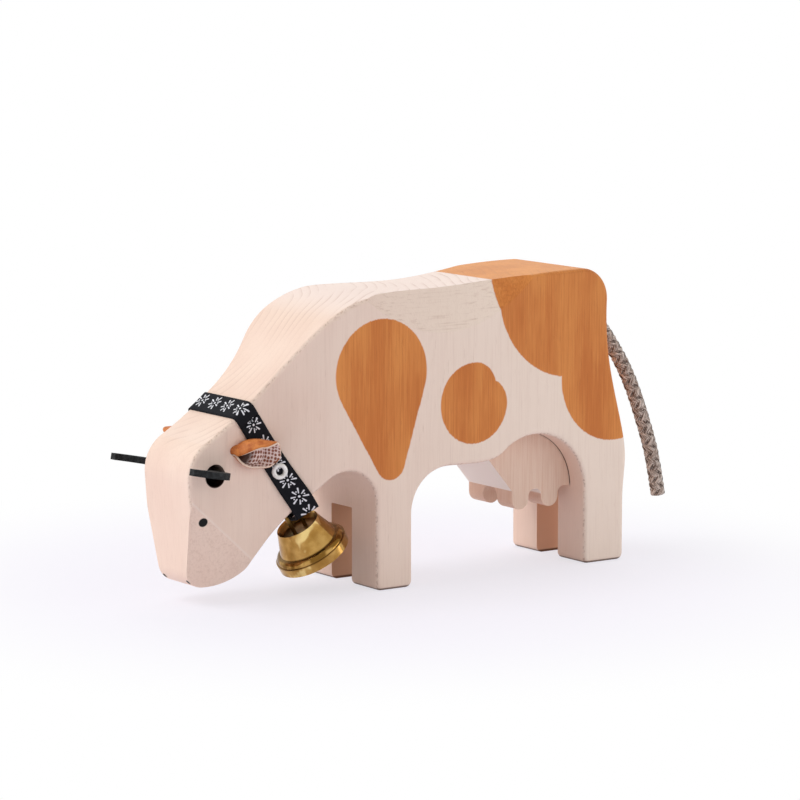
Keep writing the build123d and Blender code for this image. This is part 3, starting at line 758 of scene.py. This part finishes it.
brass, spot = new_finish("polished_brass", Metallic=1.0)
smudge = spot.scaled(0.25, 0.25, 0.25).noise(1.0, 3.0)
x, y, z = spot.parts()
off_x = x - bell_pivot[0]
off_z = z - bell_pivot[1]
bell_run = off_x * sin(bell_lean) - off_z * cos(bell_lean)
bell_away = off_x * cos(bell_lean) + off_z * sin(bell_lean)
bell_off = y - bell_y / MM
bell_radius = (bell_away * bell_away + bell_off * bell_off) ** 0.5
# Painted shade: dark lines in the waist and rim grooves and a dark inside of the dished crown.
groove = abs(bell_run - waist_groove).ramp(0.35, 0.1) * 0.8
groove = groove.most(abs(bell_run - rim_groove).ramp(0.3, 0.05) * 0.6)
brim = bell_run.ramp(waist_groove, waist_groove + 0.4) * bell_run.ramp(rim_groove, rim_groove - 0.4)
# Noise that places the painted reflections and painted highlights on the brass.
reflection_blots = spot.scaled(0.16, 0.3, 0.16).noise(1.0, 2.0)
dish = bell_radius.ramp(dish_radius, dish_radius - 0.3) * bell_run.ramp(dish_foot + 0.3, dish_foot)
groove_and_dish_shade = groove.most(dish * 0.8)
brass_tone_and_reflections = smudge.ramp(0.3, 0.7).blend(tint(198, 158, 92), tint(164, 122, 60))
# Painted reflections: dark brown blots, most on the brim, and cream painted highlights elsewhere.
brass_tone_and_reflections = (reflection_blots.ramp(0.42, 0.58) * (brim * 0.75 + 0.15)).blend(brass_tone_and_reflections, tint(112, 78, 28))
brass_tone_and_reflections = (reflection_blots.ramp(0.42, 0.3) * 0.7).blend(brass_tone_and_reflections, tint(246, 218, 150))
feed(
    brass,
    Base_Color=(groove_and_dish_shade * 0.75).blend(brass_tone_and_reflections, tint(72, 50, 16)),
    Roughness=smudge.ramp(0.3, 0.8) * 0.1 + 0.08 + groove_and_dish_shade * 0.25,
)
for node in ("bell_shell", "bell_loop", "clapper_hanger", "clapper"):
    dress(node, brass)


# Stage: a pale floor that runs out to white round the cow, and an even white sky. A large soft
# lamp stands high in front, a weaker one behind on the cow's left, a low one before its face
# and one high behind on its right.
floor_half = 6
shadow_near, shadow_far = 60.0, 180.0
near_glow = 0.67
sky_light = 0.5
floor_mesh = bpy.data.meshes.new("floor")
floor_bm = bmesh.new()
bmesh.ops.create_grid(floor_bm, x_segments=1, y_segments=1, size=floor_half)
floor_bm.to_mesh(floor_mesh)
floor_bm.free()
floor = bpy.data.objects.new("floor", floor_mesh)
bpy.context.collection.objects.link(floor)
floor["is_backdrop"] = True
floor_white, spot = new_finish("floor_white", Roughness=0.9, Specular_IOR_Level=0.1)
floor_shader = floor_white.node_tree.nodes["Principled BSDF"]
floor_shader.inputs["Base Color"].default_value = tint(244, 241, 253)
x, y = spot.parts()[:2]
far_off = ((x * x + y * y) ** 0.5).ramp(shadow_near, shadow_far)
ray = spot.make("ShaderNodeLightPath", {}, {}, "Is Camera Ray")
glossy = spot.make("ShaderNodeLightPath", {}, {}, "Is Glossy Ray")
glow_colour = far_off.blend(tint(252, 250, 255), (1, 1, 1, 1))
glow = spot.make("ShaderNodeEmission", {}, {"Color": glow_colour, "Strength": 1.0})
glow_share = (far_off * (1 - near_glow) + near_glow) * ray.most(glossy)
lit = Wire(floor_shader.outputs[0])
spread = spot.make("ShaderNodeMixShader", {}, {0: glow_share, 1: lit, 2: glow})
floor_output = floor_white.node_tree.nodes["Material Output"]
floor_white.node_tree.links.new(spread.socket, floor_output.inputs[0])
floor_mesh.materials.append(floor_white)

lamp_aim = Vector((0, 0, 0.045))
for name, place, size, power in (
    ("key", (-1.2, 0.55, 1.6), 1.4, 19.2),
    ("fill", (1.6, -1.4, 0.4), 1.2, 8.9),
    ("low", (-1.45, 0.35, 0.25), 0.6, 3.1),
    ("top", (0.9, 0.9, 1.5), 1.2, 5.0),
):
    lamp = bpy.data.lights.new(name, "AREA")
    lamp.size = size
    lamp.energy = power
    light = bpy.data.objects.new(name, lamp)
    light.location = place
    light.rotation_euler = (lamp_aim - Vector(place)).to_track_quat("-Z", "Y").to_euler()
    bpy.context.collection.objects.link(light)

sky = bpy.data.worlds.new("sky")
sky.use_nodes = True
bpy.context.scene.world = sky
sky_glow = sky.node_tree.nodes["Background"]
sky_start = Wire(sky_glow.outputs[0])
sky_ray = sky_start.make("ShaderNodeLightPath", {}, {}, "Is Camera Ray")
sky_gloss = sky_start.make("ShaderNodeLightPath", {}, {}, "Is Glossy Ray")
sky_glass = sky_start.make("ShaderNodeLightPath", {}, {}, "Is Transmission Ray")
seen = sky_ray.most(sky_gloss).most(sky_glass)
sky_strength = seen * (1 - sky_light) + sky_light
sky.node_tree.links.new(sky_strength.socket, sky_glow.inputs["Strength"])
sky_glow.inputs["Color"].default_value = (1, 1, 1, 1)
bpy.context.scene.view_settings.view_transform = "Standard"

size = {"cad": [list(corner) for corner in cad_box], "visual": [list(corner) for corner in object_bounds()]}
